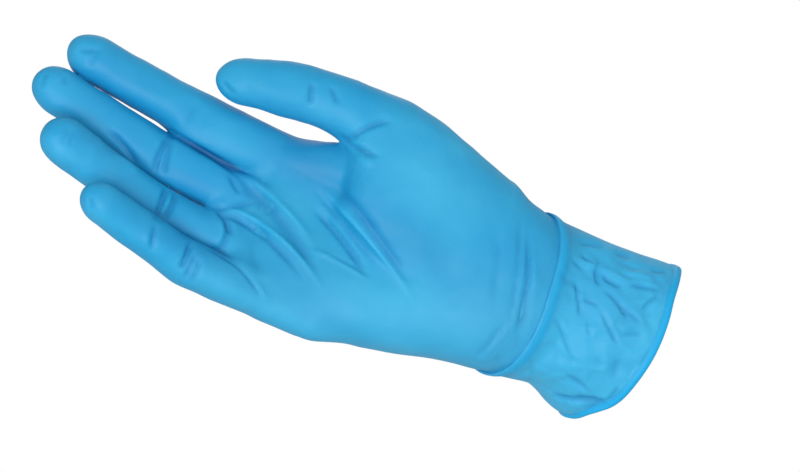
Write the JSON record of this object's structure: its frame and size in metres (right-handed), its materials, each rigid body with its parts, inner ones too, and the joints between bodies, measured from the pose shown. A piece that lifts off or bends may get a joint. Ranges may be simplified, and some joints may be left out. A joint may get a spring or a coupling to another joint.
{
  "type": "nitrile exam glove",
  "caption": "Thin blue exam glove for a right hand, hollow and open at its cuff, with fingers held straight, a fold across the wrist and a rolled bead.",
  "frame": {"origin": "centre of the cuff's open mouth", "axes": "+X out of the mouth along the forearm, +Y out of the back of the hand, +Z towards the thumb side"},
  "size_m": [0.2318, 0.0785, 0.0916],
  "materials": {
    "nitrile": "satin"
  },
  "bodies": {
    "root": {"glove": "nitrile"}
  },
  "joints": []
}
